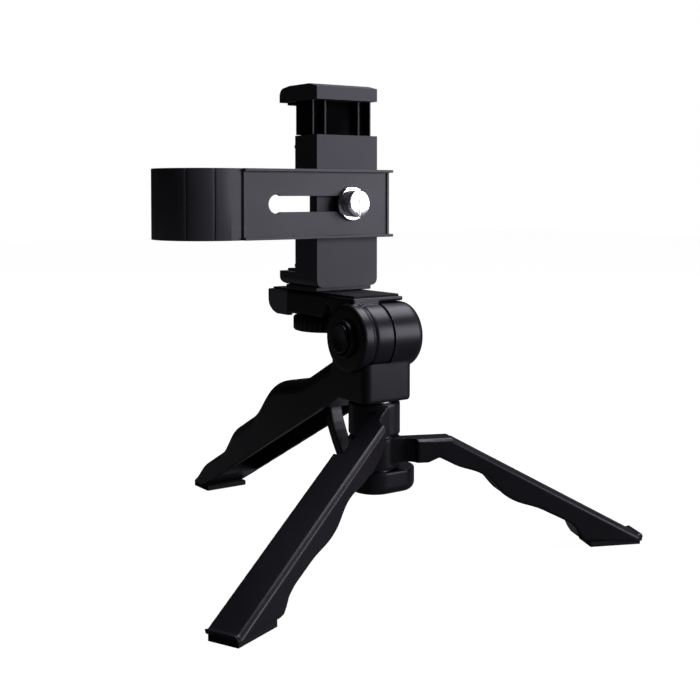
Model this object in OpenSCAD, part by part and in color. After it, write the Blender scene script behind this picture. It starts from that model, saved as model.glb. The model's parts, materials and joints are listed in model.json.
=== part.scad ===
// Folding pistol-grip table tripod with a tilting head, a sprung phone clip and a hook bracket.
// Millimetres, +Z up. The origin is under the middle of the part, on the surface it stands on.

/* [Legs] */
// Reach of a swing leg from the pivot pin to its tip
leg_reach = 115; // [110:1:120]
// Slope of the swing legs below the horizontal
leg_slope = 28.6; // [28:0.1:29]
// Width of one swing leg
leg_w = 14.5; // [13.5:0.5:15]
// Angle between each open swing leg and the front of the pivot
leg_open = 66.3; // [62:0.1:68]
// Height of the sloping top line of both legs above the pivot pin
leg_apex = 65.5; // [65:0.1:66]

/* [Handle] */
// Width of the handle shell
grip_w = 24; // [23:0.5:25]
// Slope of the handle below the horizontal
grip_slope = 27.4; // [27:0.1:28]
// Wall thickness of the moulded shells
wall = 2.2; // [1.8:0.1:2.4]

/* [Head] */
// Height of the tilt axis
tilt_z = 90.5; // [90:0.1:91]
// Radius of the tilt barrel
drum_r = 14.1; // [13.8:0.1:14.1]
// Width of the platform
deck_w = 26; // [24:0.5:27]
// Height of the platform's top face
deck_top = 106.8; // [106.8:0.1:107.4]
// Distance of the camera stud behind the pivot pin
stud_y = 35; // [34.5:0.1:35.5]
// Outside radius of the thumb wheel
wheel_r = 15; // [13:0.5:15.5]

/* [Clip] */
// Width of the phone clip
clip_w = 31.4; // [31:0.1:32]
// Front face of the phone clip behind the pivot pin
clip_front = 19.3; // [19.3:0.1:19.6]
// Depth of the clip's column
clip_d = 17.1; // [17:0.1:17.4]
// Reach of the jaws in front of the column
jaw_reach = 12.7; // [11:0.1:13]
// Height of the clip's top above the ground
clip_top = 196.5; // [196:0.5:198]

/* [Bracket] */
// Height of the bracket plate
plate_h = 29; // [28:0.5:30]
// Outside radius of the bracket's hook
hook_r = 22; // [21:0.5:22.5]
// Width of the slot, which passes a 1/4 inch screw
slot_w = 6.6; // [6.5:0.1:6.8]
// Height of the thumb screw above the ground
screw_z = 145.5; // [145:0.1:146]

/* [Hidden] */
$fn = 64;
run_fit = 0.05;          // radial clearance of a running fit

// Pivot stack, from the cap up to the collar
cap_low = 25.6;
cap_top = 35.4;
cap_long = 7.6;          // the cap's lug reaches this far to the right of the pin
low_knuckle = [36.0, 49.2];
high_knuckle = [49.8, 63.6];
collar_z = 64.2;
knuckle_r = 10.8;
pin_r = 3;

// Swing legs
leg_gap = 0.2;           // each leg's inner face stands this far off the centre plane
strap_half = 3.2;        // half the width of the yoke's strap
relief_r = 32.5;         // the legs' inner faces are set back as far out as this
pad_t = 2.4;             // thickness of the rubber feet
leg_cos = cos(leg_slope);
leg_sin = sin(leg_slope);

// Handle
grip_edge = 69.4;        // height of the handle's lower edge line at the pivot pin
collar_half = 12;        // half the width of the collar over the knuckles
collar_front = -10.4;
collar_top = 84;         // it runs up to both halves of the barrel
corner_r = 3;
grip_tip = 141.6;        // the handle's furthest reach behind the pivot pin
// The pivot pin stands in front of the origin, which is midway between the feet
pin_y = (leg_reach * cos(leg_open) + leg_w * sin(leg_open) - grip_tip) / 2;
grip_cos = cos(grip_slope);
grip_sin = sin(grip_slope);
foot_start = 124;

// Tilt barrel along X
drum_near = -15;
seam_x = 0.6;
drum_far = 16.2;
gap = 0.3;

// Clip
clip_low = 110;
body_top = 174.7;
jaw_t = 5.8;
cap_z = 189.6;           // underside of the upper jaw at rest
clip_back = clip_front + clip_d;
jaw_end = clip_back + jaw_reach;
bay_front = 25;          // the slider's bay inside the column
bay_back = 34.2;
bay_half = 13.4;

// Bracket
plate_t = 2.4;
washer_t = 0.5;
plate_back = clip_front - washer_t;
plate_front = plate_back - plate_t;
rim_t = 1.2;
rim_d = 2;
lip_d = 0.6;             // the plate's two ends have only a low lip
plate_right = 19.7;
plate_left = -53.2;
hook_x = -58.5;
hook_y = plate_front + hook_r;
hook_t = 2.4;

// Smooth bump of height 1 centred on c, w to each side
function bump(t, c, w) = abs(t - c) >= w ? 0 : pow(cos(90 * (t - c) / w), 2);
// Smooth step from 0 at a to 1 at b
function step(t, a, b) = let (u = min(1, max(0, (t - a) / (b - a)))) u * u * (3 - 2 * u);

// Depth of the handle above its lower edge line, t along that line
function grip_depth(t) = 17 + 6.6 * bump(t, 60, 26) - 7 * step(t, 104, 121) - 4 * step(t, 140, 154);
// Point of the handle's side view: t along the lower edge, d above it
function grip_pt(t, d) = [t * grip_cos + d * grip_sin, grip_edge - t * grip_sin + d * grip_cos];

// Depth of a swing leg below its sloping top line
function leg_depth(t) = 9.4 - 1.8 * bump(t, 53, 13) + 2 * bump(t, 70, 15) - 0.5 * step(t, 80, 100);
// Point of a leg's side view: t down the slope, d below the top line
function leg_pt(t, d) = [t * leg_cos - d * leg_sin, leg_apex - t * leg_sin - d * leg_cos];

// Moves the pivot pin's own frame to the part's frame
module placed() {
  translate([0, pin_y, 0]) children();
}

// Extrudes a side view drawn in (Y, Z) along X, from x0 to x1
module side_view(x0, x1) {
  translate([x0, 0, 0]) rotate([90, 0, 90]) linear_extrude(x1 - x0) children();
}

// Cylinder along X
module rod_x(x0, x1, r, y = 0, z = 0) {
  translate([x0, y, z]) rotate([0, 90, 0]) cylinder(r = r, h = x1 - x0);
}

// Cylinder along Y
module rod_y(y0, y1, r, x = 0, z = 0) {
  translate([x, y0, z]) rotate([-90, 0, 0]) cylinder(r = r, h = y1 - y0);
}

// Cylinder along Z
module rod_z(z0, z1, r, x = 0, y = 0) {
  translate([x, y, z0]) cylinder(r = r, h = z1 - z0);
}

// Box from its lowest to its highest corner
module block(lo, hi) {
  translate(lo) cube(hi - lo);
}

// Hexagonal prism along Z, w across its flats
module hex(w, h) {
  cylinder(r = w / 2 / cos(30), h = h, $fn = 6);
}

// ---- Handle ----

module grip_outline() {
  polygon(concat(
    [grip_pt(4, 0)],
    [for (t = [12 : 4 : 144]) grip_pt(t, grip_depth(t))],
    [[grip_tip - 2, 6.5], [grip_tip, pad_t + 1], [grip_tip - 0.6, pad_t], [foot_start + 1, pad_t],
     grip_pt(132, 0)]
  ));
}

module grip_hollow() {
  polygon(concat(
    [grip_pt(24, -6)],
    [for (t = [24 : 4 : 124]) grip_pt(t, grip_depth(t) - wall)],
    [grip_pt(128, -6)]
  ));
}

module handle_shell() {
  color([0.08, 0.075, 0.09]) placed() difference() {
    union() {
      side_view(-grip_w / 2, grip_w / 2) grip_outline();
      // collar over the knuckles
      block([-collar_half, collar_front + corner_r, collar_z], [collar_half, 14, collar_top]);
      block([-collar_half + corner_r, collar_front, collar_z], [collar_half - corner_r, 0, collar_top]);
      for (x = [corner_r - collar_half, collar_half - corner_r])
        rod_z(collar_z, collar_top, corner_r, x, collar_front + corner_r);
      // neck and fixed drum
      block([seam_x + gap / 2, collar_front + 1, collar_z + 1], [collar_half, 13, tilt_z]);
      rod_x(seam_x + gap / 2, drum_far, drum_r, 0, tilt_z);
    }
    difference() {
      side_view(-grip_w / 2 + wall, grip_w / 2 - wall) grip_hollow();
      // boss that the yoke is screwed up against
      side_view(-8.5, 8.5) polygon([
        grip_pt(27.5, 10.6), grip_pt(39.5, 10.6), grip_pt(39.5, 17), grip_pt(27.5, 17)
      ]);
    }
    for (x = [-6, 6]) yoke_screw_at(x) cylinder(r = 1.25, h = 6.4);
    // saddle under the tilting drum
    rod_x(-20, seam_x + gap / 2, drum_r + 0.4, 0, tilt_z);
    // pivot pin with its head
    rod_z(collar_z - 1, 70, pin_r);
    rod_z(68, 71.5, 5.5);
    // fixed drum's pocket and axle bore
    rod_x(seam_x - 1, 9.5, ring_r + 0.1, 0, tilt_z);
    rod_x(5, 20, axle_r, 0, tilt_z);
    rod_x(11.2, 20, 9, 0, tilt_z);
  }
}

module handle_foot_pad() {
  color([0.05, 0.05, 0.055]) placed()
    block([-grip_w / 2 + 1, foot_start + 2, 0], [grip_w / 2 - 1, grip_tip - 1.4, pad_t]);
}

// Middle line of the yoke's strap in the side view
function strap_mid(u) = [15 + 16.5 * sin(90 * u), 30.5 + 29 * u + 4.5 * u * u];
function strap_pt(u, side) =
  let (a = strap_mid(u), b = strap_mid(u + 0.01), v = b - a, n = [v[1], -v[0]] / norm(v))
  a + n * side;

module hinge_yoke() {
  color([0.075, 0.07, 0.085]) placed() difference() {
    union() {
      // bottom cap
      for (x = [0, cap_long]) rod_z(cap_low, cap_top, knuckle_r, x);
      block([0, -knuckle_r, cap_low], [cap_long, knuckle_r, cap_top]);
      // strap up into the handle
      side_view(-strap_half, strap_half) polygon(concat(
        [[4, cap_low + 1], [16, cap_low + 1]],
        [for (i = [1 : 10]) strap_pt(i / 10, 2.3)],
        [for (i = [10 : -1 : 1]) strap_pt(i / 10, -2.3)],
        [[4, cap_top]]
      ));
      // flat that the strap is screwed down by
      side_view(-8.5, 8.5) polygon([
        grip_pt(27.5, 10.6), grip_pt(39.5, 10.6), grip_pt(39.5, 7.6), grip_pt(27.5, 7.6)
      ]);
    }
    rod_z(cap_low - 1, cap_top + 1, pin_r);
    rod_z(cap_low - 1, cap_low + 4, 5.6);
    for (x = [-6, 6]) yoke_screw_at(x) cylinder(r = 1.25, h = 20, center = true);
  }
}

// Frame of one yoke screw, +Z along the screw up into the shell
module yoke_screw_at(x) {
  translate([x, grip_pt(33.5, 0)[0], grip_pt(33.5, 0)[1]]) rotate([-grip_slope, 0, 0])
    translate([0, 0, 7.6]) children();
}

module yoke_screws() {
  color([0.55, 0.55, 0.57]) placed() for (x = [-6, 6]) yoke_screw_at(x) {
    difference() {
      translate([0, 0, -1.6]) cylinder(r = 2.3, h = 1.6);
      translate([0, 0, -1.7]) hex(1.8, 1);
    }
    cylinder(r = 1.25, h = 6.4);
  }
}

module hinge_pin() {
  color([0.7, 0.7, 0.72]) placed() {
    rod_z(cap_low + 1, 70, pin_r);
    rod_z(69.9, 71.4, 5.4);
  }
}

module pin_nut() {
  color([0.6, 0.6, 0.62]) placed() difference() {
    translate([0, 0, cap_low + 0.6]) hex(8.8, 3.3);
    rod_z(cap_low, cap_low + 5, pin_r);
  }
}

module hinge_washers() {
  color([0.75, 0.75, 0.77]) placed() {
    for (z = [cap_top, low_knuckle[1], high_knuckle[1]]) difference() {
      rod_z(z + 0.05, z + 0.55, 8);
      rod_z(z - 1, z + 2, pin_r + 0.05);
    }
  }
}

// ---- Tilt barrel ----

teeth = 12;
axle_r = 2.5;
ring_r = 10.3;
ring_x = [2.0, 4.4];     // the detent ring's disc at rest
push_r = 4.7;            // the release plate's pins stand at this radius
bezel_r = 8;
button_r = 6.2;

// Face teeth round the X axis, from x0 to x1
module face_teeth(x0, x1, r0, r1) {
  for (i = [0 : teeth - 1]) rotate([i * 360 / teeth, 0, 0])
    block([x0, r0, -0.9], [x1, r1, 0.9]);
}

module detent_ring() {
  color([0.6, 0.6, 0.62]) placed() translate([0, 0, tilt_z]) {
    difference() {
      rod_x(ring_x[0], ring_x[1], ring_r);
      rod_x(0, 7, axle_r + run_fit);
    }
    face_teeth(0.8, ring_x[0] + 0.2, 6.4, 9.6);
  }
}

module detent_spring() {
  color([0.7, 0.7, 0.72]) placed() translate([0, 0, tilt_z]) difference() {
    rod_x(ring_x[1] + 0.05, 9.45, 6.4);
    rod_x(0, 12, 5.2);
  }
}

module tilt_axle() {
  color([0.7, 0.7, 0.72]) placed() translate([0, 0, tilt_z]) {
    rod_x(-7.3, 14.2, axle_r);
    rod_x(-8.2, -7.2, 4);
  }
}

module axle_nut() {
  color([0.6, 0.6, 0.62]) placed() translate([11.3, 0, tilt_z]) rotate([0, 90, 0]) difference() {
    hex(8, 2.6);
    translate([0, 0, -1]) cylinder(r = axle_r, h = 5);
  }
}

module barrel_end_cap() {
  color([0.07, 0.065, 0.08]) placed() rod_x(14.5, drum_far + 0.4, 8.9, 0, tilt_z);
}

// ---- Swing legs ----
// A leg is drawn along +X with its body on the +Y side, then turned to its open place.

// The lower edge's points, from the tip back to the root
function leg_low() = [for (t = [101 : -3 : 38]) leg_pt(t, leg_depth(t))];

// Extrudes a leg's side view, drawn in (X, Z), along Y from y0 to y1
module leg_side_view(y0, y1) {
  translate([0, y1, 0]) rotate([90, 0, 0]) linear_extrude(y1 - y0) children();
}

module leg_tip_outline() {
  polygon([
    leg_pt(98, 0), leg_pt(129, 0), [leg_reach, pad_t + 1.6], [leg_reach - 0.6, pad_t],
    [90, pad_t], [86.5, 4.4], [84.6, 7.6], leg_pt(98, leg_depth(98))
  ]);
}

module leg_solid(root_low, root_top) {
  difference() {
    leg_side_view(leg_gap, leg_w) {
      polygon(concat(root_top, [leg_pt(110, 0), leg_pt(110, 6)], leg_low(), root_low));
      leg_tip_outline();
    }
    // the root's inner face stands clear of the yoke's strap
    block([-20, -1, 20], [relief_r, strap_half + 0.6, 80]);
    // the outer side runs in to the knuckle
    translate([0, 0, 20]) linear_extrude(60) polygon([
      [-20, 9.8], [10.5, 9.8], [13, 10.6], [14.6, 12.2], [15.2, leg_w], [15.2, 30], [-20, 30]
    ]);
    // the hollow underside
    leg_side_view(leg_gap + 2, leg_w - 2) polygon([
      leg_pt(46, 2.4), leg_pt(100, 2.4), leg_pt(100, 14), leg_pt(60, 16), leg_pt(46, 14)
    ]);
  }
}

module knuckle(span) {
  rod_z(span[0], span[1], knuckle_r);
}

module left_leg_shape() {
  difference() {
    union() {
      knuckle(high_knuckle);
      leg_solid(
        [[26, 39.6], [20, 44.5], [12.5, high_knuckle[0]], [0, high_knuckle[0]]],
        [[0, high_knuckle[1]], [3.4, high_knuckle[1]]]
      );
    }
    rod_z(20, 80, pin_r + run_fit);
    rod_z(0, high_knuckle[0], knuckle_r + 0.6);
  }
}

module right_leg_shape() {
  knee = (leg_apex - low_knuckle[1]) / tan(leg_slope);
  difference() {
    union() {
      knuckle(low_knuckle);
      leg_solid(
        [[24.6, 41.2], [20, 39.3], [0, 39.3]],
        [[0, low_knuckle[1]], [knee, low_knuckle[1]]]
      );
    }
    rod_z(20, 80, pin_r + run_fit);
  }
}

module leg_pad_shape() {
  block([91, leg_gap + 0.8, 0], [leg_reach - 1.4, leg_w - 0.8, pad_t]);
}

module left_turned() {
  placed() rotate([0, 0, 270 - leg_open]) children();
}

module right_turned() {
  placed() rotate([0, 0, leg_open - 90]) mirror([0, 1, 0]) children();
}

module left_leg() {
  color([0.085, 0.08, 0.095]) left_turned() left_leg_shape();
}

module left_foot_pad() {
  color([0.05, 0.05, 0.055]) left_turned() leg_pad_shape();
}

module right_leg() {
  color([0.085, 0.08, 0.095]) right_turned() right_leg_shape();
}

module right_foot_pad() {
  color([0.05, 0.05, 0.055]) right_turned() leg_pad_shape();
}

// ---- Head ----

deck_low = tilt_z + drum_r + gap;
deck_end = 64;
skirt_low = 97;
deck_half = deck_w / 2;

module tilt_head() {
  color([0.08, 0.075, 0.09]) placed() difference() {
    union() {
      rod_x(drum_near, seam_x - gap / 2, drum_r, 0, tilt_z);
      // bridge from the drum up to the deck
      block([-deck_half, -3, tilt_z + 8], [seam_x - gap / 2, 12, deck_low + 1]);
      block([-deck_half, -3, deck_low], [deck_half, deck_end, deck_top]);
      // skirt with its hanging lip
      side_view(-deck_half, deck_half) polygon([
        [17, deck_low + 0.5], [17, 100], [20, skirt_low], [46, skirt_low], [47, 95.8],
        [deck_end - 7, 95.8], [deck_end, 99.6], [deck_end, deck_low + 0.5]
      ]);
    }
    // hollow under the deck
    block([-deck_half + wall, 19.5, 90], [deck_half - wall, 53, deck_top - 3.4]);
    rod_z(100, 110, stud_r + run_fit, 0, stud_y);
    // pocket for the lock, and the wall that turns on the axle
    rod_x(-20, -11, bezel_r, 0, tilt_z);
    rod_x(-11.1, -1.6, 9.4, 0, tilt_z);
    rod_x(-2, 3, axle_r + run_fit, 0, tilt_z);
    push_pins() rod_x(-3, 3, 1.1, push_r, 0);
  }
}

module button_bezel() {
  color([0.07, 0.065, 0.08]) placed() translate([0, 0, tilt_z]) difference() {
    rod_x(drum_near - 2.2, -11.2, bezel_r);
    rod_x(-20, 0, button_r + 0.3);
  }
}

module platform_pad() {
  color([0.06, 0.06, 0.065]) placed() difference() {
    block([-deck_half + 1.5, -1.5, deck_top], [deck_half - 1.5, deck_end - 2.5, deck_top + 1]);
    rod_z(100, 120, stud_r + 0.2, 0, stud_y);
  }
}

module wheel_retainer() {
  color([0.6, 0.6, 0.62]) placed() translate([0, stud_y, 0]) difference() {
    rod_z(deck_top - 4.2, deck_top - 3.4, 7);
    rod_z(90, 110, stud_r + run_fit);
  }
}

// Repeats its children for the three pins of the release plate
module push_pins() {
  translate([0, 0, tilt_z]) for (turn = [90 : 120 : 330]) rotate([turn, 0, 0]) children();
}

module lock_button() {
  color([0.075, 0.07, 0.085]) placed() translate([0, 0, tilt_z]) difference() {
    union() {
      rod_x(drum_near - 3.2, -9.9, button_r);
      rod_x(-10.8, -9.9, bezel_r - 0.4);
    }
    rod_x(-10.9, -5, 4.3);
  }
}

module release_plate() {
  color([0.6, 0.6, 0.62]) placed() {
    translate([0, 0, tilt_z]) difference() {
      rod_x(-9.9, -6.6, 8.6);
      rod_x(-10.5, -5, 4.3);
    }
    push_pins() rod_x(-6.7, ring_x[0] - 0.1, 0.9, push_r, 0);
  }
}

// ---- Thumb wheel ----

wheel_z = [89.8, 96.6];
stud_r = 3.05;
notches = 36;

module thumb_wheel() {
  color([0.06, 0.06, 0.065]) placed() translate([0, stud_y, 0]) difference() {
    union() {
      rod_z(wheel_z[0], wheel_z[1], wheel_r);
      rod_z(wheel_z[1] - 0.1, deck_top - 4.3, 9);
    }
    for (i = [0 : notches - 1]) rotate([0, 0, i * 360 / notches])
      rod_z(wheel_z[0] - 1, wheel_z[1] + 1, 0.5, wheel_r + 0.15);
    rod_z(80, 120, stud_r);
    rod_z(wheel_z[0] - 1, wheel_z[0] + 1.2, 10);
  }
}

module camera_stud() {
  color([0.75, 0.75, 0.77]) placed() translate([0, stud_y, 0]) {
    rod_z(wheel_z[0] + 0.9, clip_low + 4.6, stud_r);
    rod_z(wheel_z[0] + 0.2, wheel_z[0] + 1.2, 5);
  }
}

// ---- Phone clip ----

clip_half = clip_w / 2;
window_z = [139, 152];
slider_low = 153;
shoulder_half = 15.2;    // the upper jaw's shoulder is nearly as wide as the body
shoulder_front = 23.4;
cover_screw_x = [-14.4, 14.4];
cover_screw_z = [118.6, 170];
jaw_pad_t = 1.1;

// Flat pad on a jaw, from height z up
module jaw_pad_at(z) {
  color([0.05, 0.05, 0.055]) placed()
    block([-clip_half + 3, clip_back + 1.2, z], [clip_half - 3, jaw_end - 1.8, z + jaw_pad_t]);
}

module clip_body() {
  color([0.2, 0.2, 0.21]) placed() difference() {
    union() {
      block([-clip_half, clip_front, clip_low], [clip_half, bay_back, body_top]);
      side_view(-clip_half, clip_half) polygon([
        [clip_front, clip_low], [jaw_end - 2.8, clip_low], [jaw_end - 1.3, clip_low + 0.4],
        [jaw_end - 0.4, clip_low + 1.3], [jaw_end, clip_low + 2.8],
        [jaw_end, clip_low + jaw_t], [clip_front, clip_low + jaw_t]
      ]);
    }
    block([-bay_half, bay_front, clip_low + jaw_t + 1], [bay_half, bay_back + 1, body_top + 1]);
    // side window, open towards the phone
    block([-clip_half - 1, bay_front, window_z[0]], [-bay_half + 1, bay_back + 1, window_z[1]]);
    // threads for the stud and the thumb screw
    rod_z(clip_low - 1, clip_low + 5, 4.4, 0, stud_y);
    rod_y(clip_front - 1, bay_front + 1, 3.3, 0, screw_z);
    rod_y(22, bay_front + 1, 6.4, 0, screw_z);
    for (x = cover_screw_x, z = cover_screw_z) rod_y(bay_back - 6, bay_back + 1, 1, x, z);
  }
}

module clip_cover() {
  color([0.2, 0.2, 0.21]) placed() difference() {
    block([-clip_half, bay_back + 0.02, clip_low + jaw_t + 0.02], [clip_half, clip_back, body_top]);
    block([-clip_half - 1, bay_back - 1, window_z[0]], [-5, clip_back + 1, window_z[1]]);
    block([-9, clip_back - 0.8, 120], [9, clip_back + 1, 136]);
    block([-9, clip_back - 0.8, 154], [9, clip_back + 1, 172]);
    for (x = cover_screw_x, z = cover_screw_z) rod_y(bay_back - 1, clip_back + 1, 1, x, z);
  }
}

module cover_screws() {
  color([0.55, 0.55, 0.57]) placed() for (x = cover_screw_x, z = cover_screw_z) {
    rod_y(bay_back - 5, clip_back, 1, x, z);
    rod_y(clip_back, clip_back + 0.7, 1.2, x, z);
  }
}

module back_pad() {
  color([0.05, 0.05, 0.055]) placed() {
    block([-9, clip_back - 0.8, 120], [9, clip_back + 0.3, 136]);
    block([-9, clip_back - 0.8, 154], [9, clip_back + 0.3, 172]);
  }
}

module clip_foot() {
  color([0.1, 0.1, 0.11]) placed() difference() {
    block([-14.4, 22, deck_top + 1.2], [14.4, 46, clip_low]);
    rod_z(100, 120, 4.4, 0, stud_y);
  }
}

module foot_insert() {
  color([0.72, 0.6, 0.3]) placed() translate([0, stud_y, 0]) difference() {
    rod_z(deck_top + 1.4, clip_low + 5, 4.4);
    rod_z(100, 120, stud_r + run_fit);
  }
}

module face_nut() {
  color([0.6, 0.6, 0.62]) placed() translate([0, 22, screw_z]) rotate([-90, 0, 0]) difference() {
    cylinder(r = 6.4, h = 2.8);
    translate([0, 0, -1]) cylinder(r = stud_r + run_fit, h = 5);
  }
}

module lower_jaw_pad() {
  jaw_pad_at(clip_low + jaw_t);
}

module clip_spring() {
  color([0.7, 0.7, 0.72]) placed() difference() {
    rod_z(clip_low + jaw_t + 1.1, slider_low - 0.1, 3.2, 1.4, 30);
    rod_z(clip_low, 160, 2.4, 1.4, 30);
  }
}

module upper_jaw() {
  color([0.19, 0.19, 0.2]) placed() difference() {
    union() {
      block([-bay_half + 0.3, bay_front + 0.3, slider_low], [bay_half - 0.3, bay_back - 0.3, cap_z + 0.5]);
      // shoulder that rests over the body's top
      block([-shoulder_half, shoulder_front, body_top + gap], [shoulder_half, clip_back, cap_z + 0.5]);
      // tail that keeps the slider in its bay when the jaw is raised
      block([5.6, bay_front + 0.3, 122], [bay_half - 0.3, bay_back - 0.3, slider_low + 1]);
      side_view(-clip_half, clip_half) polygon([
        [clip_front, cap_z], [jaw_end, cap_z], [jaw_end, clip_top - 3.4],
        [jaw_end - 0.8, clip_top - 1.8], [jaw_end - 2.4, clip_top - 0.8],
        [jaw_end - 8, clip_top], [clip_front + 6, clip_top], [clip_front, clip_top - 1.4]
      ]);
    }
    // channel down the slider's face, and pockets in the shoulder's
    block([-8.4, bay_front, 100], [8.4, bay_front + 3.4, body_top]);
    for (span = [[-14.5, -9.1], [-8.3, 8.3], [9.1, 14.5]])
      block([span[0], shoulder_front - 1, body_top], [span[1], shoulder_front + 3.4, cap_z]);
  }
}

module upper_jaw_pad() {
  jaw_pad_at(cap_z - jaw_pad_t);
}

// ---- Bracket ----

key_x = -37.2;
key_r = 3.95;

module bracket_plate() {
  low = screw_z - plate_h / 2;
  high = screw_z + plate_h / 2;
  rim_front = plate_front - rim_d;
  rear_y = hook_y + hook_r;
  color([0.22, 0.22, 0.23]) placed() difference() {
    union() {
      block([hook_x, plate_front, low], [plate_right, plate_back, high]);
      // rims along the top and the bottom, and lips across both ends
      for (z = [low, high - rim_t])
        block([plate_left, rim_front, z], [plate_right + 1.2, plate_front + 1, z + rim_t]);
      for (x = [plate_left, plate_right - rim_t])
        block([x, plate_front - lip_d, low], [x + rim_t, plate_front + 1, high]);
      // the hook and its rear wall
      translate([hook_x, hook_y, low]) difference() {
        cylinder(r = hook_r, h = plate_h);
        translate([0, 0, -1]) cylinder(r = hook_r - hook_t, h = plate_h + 2);
        block([0, -hook_r - 1, -1], [hook_r + 1, hook_r + 1, plate_h + 1]);
      }
      block([hook_x, rear_y - hook_t, low], [-42, rear_y, high]);
      translate([-42, rear_y - hook_t / 2, low]) cylinder(r = hook_t / 2 + 0.5, h = plate_h);
    }
    // keyhole slot
    block([key_x, plate_front - 3, screw_z - slot_w / 2], [0, plate_back + 1, screw_z + slot_w / 2]);
    rod_y(plate_front - 3, plate_back + 1, slot_w / 2, 0, screw_z);
    rod_y(plate_front - 3, plate_back + 1, key_r, key_x, screw_z);
  }
}

module hook_liner() {
  color([0.05, 0.05, 0.055]) placed() translate([hook_x, hook_y, screw_z - plate_h / 2 + 2]) difference() {
    cylinder(r = hook_r - hook_t, h = plate_h - 4);
    translate([0, 0, -1]) cylinder(r = hook_r - hook_t - 1.2, h = plate_h);
    block([0, -hook_r - 1, -1], [hook_r + 1, hook_r + 1, plate_h + 1]);
  }
}

module pivot_washer() {
  color([0.08, 0.08, 0.085]) placed() difference() {
    rod_y(plate_back, clip_front, 8, 0, screw_z);
    rod_y(0, 40, stud_r + run_fit, 0, screw_z);
  }
}

module thumb_screw() {
  color([0.85, 0.85, 0.87]) placed() difference() {
    union() {
      rod_y(plate_front - 1.4, plate_front, 7.4, 0, screw_z);
      rod_y(10.6, plate_front - 1.3, 5.8, 0, screw_z);
      rod_y(plate_front - 0.1, 24.6, stud_r, 0, screw_z);
    }
    block([-0.4, 10, screw_z - 7], [0.4, 11.2, screw_z + 7]);
  }
}

handle_shell();
handle_foot_pad();
hinge_yoke();
yoke_screws();
hinge_pin();
pin_nut();
hinge_washers();
detent_ring();
detent_spring();
tilt_axle();
axle_nut();
barrel_end_cap();
left_leg();
left_foot_pad();
right_leg();
right_foot_pad();
tilt_head();
button_bezel();
platform_pad();
wheel_retainer();
lock_button();
release_plate();
thumb_wheel();
camera_stud();
clip_body();
clip_cover();
clip_foot();
foot_insert();
face_nut();
lower_jaw_pad();
back_pad();
cover_screws();
clip_spring();
upper_jaw();
upper_jaw_pad();
pivot_washer();
bracket_plate();
hook_liner();
thumb_screw();
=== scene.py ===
# %% [markdown]
# # A folding pistol-grip tripod with a phone clip and a hook bracket
#
# The real object is a pocket tripod. A moulded handle and two swing legs fold together round one
# steel pin. A tilting head carries a sprung phone clip, and a slotted metal bracket on the clip's
# front curls into a hook for a small camera.
#
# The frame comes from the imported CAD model, in metres. It says where every piece is and which
# body it moves with. These cells build the pieces that are seen in finer detail over that frame.

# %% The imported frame
import json
from math import cos, hypot, pi, radians, sin

import bmesh
import bpy
from mathutils import Matrix, Vector


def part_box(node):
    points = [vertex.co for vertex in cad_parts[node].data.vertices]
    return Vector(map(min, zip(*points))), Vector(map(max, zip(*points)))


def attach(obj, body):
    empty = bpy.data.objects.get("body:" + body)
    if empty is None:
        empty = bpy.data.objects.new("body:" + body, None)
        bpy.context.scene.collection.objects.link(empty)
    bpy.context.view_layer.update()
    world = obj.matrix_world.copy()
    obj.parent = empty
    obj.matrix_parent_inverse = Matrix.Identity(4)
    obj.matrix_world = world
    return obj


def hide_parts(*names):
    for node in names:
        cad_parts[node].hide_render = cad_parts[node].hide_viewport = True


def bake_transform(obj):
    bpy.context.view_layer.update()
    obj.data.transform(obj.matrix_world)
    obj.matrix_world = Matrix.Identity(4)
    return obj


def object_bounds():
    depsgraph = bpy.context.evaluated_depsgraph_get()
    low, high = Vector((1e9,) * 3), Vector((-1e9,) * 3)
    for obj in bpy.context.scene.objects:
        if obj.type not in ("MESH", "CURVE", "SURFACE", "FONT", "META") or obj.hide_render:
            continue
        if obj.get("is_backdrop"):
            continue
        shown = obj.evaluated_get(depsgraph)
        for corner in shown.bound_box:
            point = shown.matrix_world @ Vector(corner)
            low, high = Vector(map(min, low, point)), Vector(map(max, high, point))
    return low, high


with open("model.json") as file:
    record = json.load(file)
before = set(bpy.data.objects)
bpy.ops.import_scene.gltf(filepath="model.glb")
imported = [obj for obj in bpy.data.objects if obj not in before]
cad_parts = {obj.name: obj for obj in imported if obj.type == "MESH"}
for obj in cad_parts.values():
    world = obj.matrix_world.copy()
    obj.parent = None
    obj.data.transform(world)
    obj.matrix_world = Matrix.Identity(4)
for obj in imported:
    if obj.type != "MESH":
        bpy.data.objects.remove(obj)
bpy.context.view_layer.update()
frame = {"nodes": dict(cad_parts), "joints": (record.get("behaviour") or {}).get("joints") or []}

joints = {joint["name"]: joint for joint in frame["joints"]}

# %% [markdown]
# The pivot pin is the heart of the tripod, and everything was drawn round it. So the cells below
# use millimetres with the pin at X 0, Y 0. One function carries a point into the frame, and the
# pin's place is read from the head's tilt joint, so nothing is fitted by eye.

# %% Millimetres round the pivot pin
PIN_Y = joints["head_tilt"]["pos_m"][1]
TILT_Z = joints["head_tilt"]["pos_m"][2] * 1000
STUD_Y = (joints["clip_pan"]["pos_m"][1] - PIN_Y) * 1000
SCREW_Z = joints["bracket_swivel"]["pos_m"][2] * 1000


def to_frame(point):
    """A point in millimetres round the pin, in the frame's metres."""
    return Vector((point[0] / 1000, point[1] / 1000 + PIN_Y, point[2] / 1000))


def node_box(node):
    """The lowest and highest corners of a CAD node, in millimetres round the pin."""
    corners = []
    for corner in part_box(node):
        corners.append(Vector((corner.x, corner.y - PIN_Y, corner.z)) * 1000)
    return corners


print("tilt axis", round(TILT_Z, 1), "stud", round(STUD_Y, 1), "screw", round(SCREW_Z, 1))

# %% [markdown]
# ## Tools for making solids
#
# Moulded parts start as simple closed solids: a loft through a row of rings, a prism, or a
# turned profile. A loft is enough for all three, because a prism is a loft between two equal
# rings, and turning is a loft of circles.

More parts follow.
